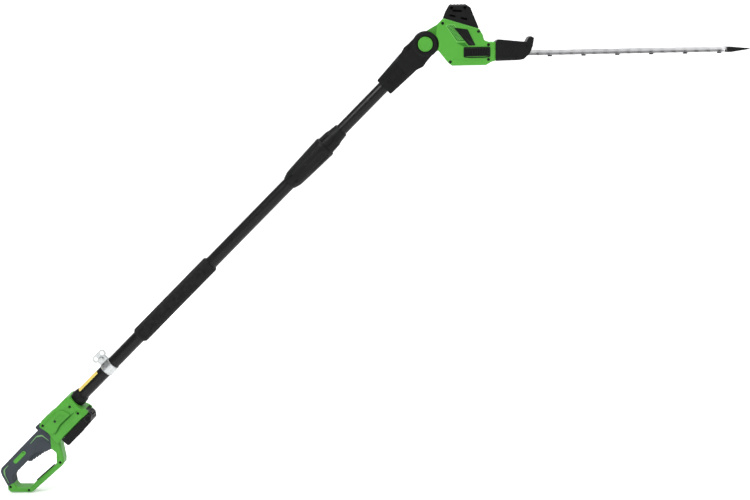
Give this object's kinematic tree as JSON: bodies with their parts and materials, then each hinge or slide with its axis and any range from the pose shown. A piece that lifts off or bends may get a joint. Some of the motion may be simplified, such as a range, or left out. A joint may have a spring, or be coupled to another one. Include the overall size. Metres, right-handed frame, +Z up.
{
  "type": "telescoping pole hedge trimmer",
  "caption": "Battery pole trimmer with a D-handle power unit, a telescoping twist-lock pole, a tilting motor head and a straight double-edged reciprocating blade.",
  "frame": {"origin": "centre of the upper hole of the strap eye on the pole clamp, where the carrying strap holds the tool", "axes": "+X along the blades towards their tip, +Z up with the pole leaning 44.3 degrees from level, +Y to the far side of the tool, away from the tilt lock button"},
  "size_m": [1.8469, 0.074, 1.1921],
  "materials": {
    "green_plastic": "satin moulded plastic, bright leaf green",
    "grey_rubber": "matte soft overmould, dark blue-grey",
    "black_plastic": "satin moulded plastic, black",
    "tube_black": "smooth black coated tube",
    "foam": "matte closed-cell foam, black",
    "zinc_steel": "bright zinc plate",
    "screw_steel": "blackened steel",
    "blade_steel": "ground steel",
    "rail_alloy": "extruded alloy, satin",
    "cell_wrap": "shrink-wrapped cells",
    "label_yellow": "blank printed film",
    "board_green": "circuit board",
    "lead_black": "soft cable sheath"
  },
  "bodies": {
    "power_unit": {"rear_housing_left": "green_plastic", "rear_housing_right": "green_plastic", "grip_overmould_left": "grey_rubber", "grip_overmould_right": "grey_rubber", "strut_pad": "black_plastic", "pole_boot": "black_plastic", "warning_label": "label_yellow", "housing_screws": "screw_steel", "trigger_switch": "black_plastic", "control_board": "board_green", "battery_terminals": "zinc_steel", "outer_tube": "tube_black", "foam_grip": "foam", "strap_clamp": "zinc_steel", "strap_eye": "zinc_steel", "clamp_bolt": "zinc_steel", "clamp_nut": "zinc_steel", "lock_base": "black_plastic", "lock_collet": "black_plastic", "coiled_lead": "lead_black", "trigger_spring": "zinc_steel", "lock_off_spring": "zinc_steel"},
    "trigger": {"trigger": "grey_rubber"},
    "lock_off": {"lock_off_button": "grey_rubber"},
    "battery": {"battery_case": "black_plastic", "battery_cells": "cell_wrap"},
    "battery_latch": {"battery_latch": "black_plastic"},
    "lock_sleeve": {"lock_sleeve": "black_plastic"},
    "inner_pole": {"inner_tube": "tube_black", "guide_bush": "black_plastic", "joint_sleeve_left": "black_plastic", "joint_sleeve_right": "black_plastic", "sleeve_screws": "screw_steel", "pivot_pin": "zinc_steel", "joint_cap": "black_plastic", "head_lead": "lead_black", "joint_spring": "zinc_steel"},
    "joint_button": {"joint_button": "green_plastic"},
    "head": {"head_housing_left": "green_plastic", "head_housing_right": "green_plastic", "motor_cap_left": "black_plastic", "motor_cap_right": "black_plastic", "head_screws": "screw_steel", "badges": "black_plastic", "vent_grilles": "black_plastic", "motor": "screw_steel", "gearbox_plate": "rail_alloy", "gear_bearing": "zinc_steel", "blade_rail": "rail_alloy", "blade_bolts": "screw_steel", "tip_guard": "black_plastic", "blade_carrier_left": "black_plastic", "blade_carrier_right": "black_plastic", "carrier_screws": "screw_steel"},
    "motor_pinion": {"motor_pinion": "blade_steel"},
    "drive_gear": {"drive_gear": "blade_steel"},
    "upper_blade": {"upper_blade": "blade_steel"},
    "lower_blade": {"lower_blade": "blade_steel"}
  },
  "joints": [
    {"name": "trigger_squeeze", "type": "slide", "parent": "power_unit", "child": "trigger", "axis": [-0.6984, 0, 0.7157], "range_m": [0, 0.006], "stiffness_N_per_m": 500, "springref_m": -0.006},
    {"name": "lock_off_press", "type": "slide", "parent": "power_unit", "child": "lock_off", "axis": [0.6984, 0, -0.7157], "range_m": [0, 0.005], "stiffness_N_per_m": 400, "springref_m": -0.004},
    {"name": "battery_slide", "type": "slide", "parent": "power_unit", "child": "battery", "axis": [0.7157, 0, 0.6984], "range_m": [0, 0.115]},
    {"name": "latch_press", "type": "slide", "parent": "battery", "child": "battery_latch", "axis": [0.6984, 0, -0.7157], "range_m": [0, 0.003], "stiffness_N_per_m": 500, "springref_m": -0.003},
    {"name": "lock_twist", "type": "hinge", "parent": "power_unit", "child": "lock_sleeve", "pos_m": [0.52897, 0, 0.46451], "axis": [0.7157, 0, 0.6984], "range_deg": [0, 60]},
    {"name": "pole_slide", "type": "slide", "parent": "power_unit", "child": "inner_pole", "axis": [0.7157, 0, 0.6984], "range_m": [-0.135, 0.45]},
    {"name": "joint_button_press", "type": "slide", "parent": "inner_pole", "child": "joint_button", "axis": [0, 1, 0], "range_m": [0, 0.005], "stiffness_N_per_m": 800, "springref_m": -0.004},
    {"name": "head_tilt", "type": "hinge", "parent": "inner_pole", "child": "head", "pos_m": [0.81525, 0, 0.74387], "axis": [0, 1, 0], "range_deg": [-60, 40]},
    {"name": "gear_spin", "type": "hinge", "parent": "head", "child": "drive_gear", "pos_m": [0.92525, 0, 0.72787], "axis": [0, 0, 1], "continuous": true},
    {"name": "pinion_spin", "type": "hinge", "parent": "head", "child": "motor_pinion", "pos_m": [0.89525, 0, 0.72787], "axis": [0, 0, 1], "continuous": true},
    {"name": "upper_blade_stroke", "type": "slide", "parent": "head", "child": "upper_blade", "axis": [1, 0, 0], "range_m": [-0.008, 0.008]},
    {"name": "lower_blade_stroke", "type": "slide", "parent": "head", "child": "lower_blade", "axis": [1, 0, 0], "range_m": [-0.008, 0.008]}
  ],
  "couplings": [
    {"joint": "pinion_spin", "follows": "gear_spin", "ratio": -4},
    {"joint": "lower_blade_stroke", "follows": "upper_blade_stroke", "ratio": -1}
  ]
}
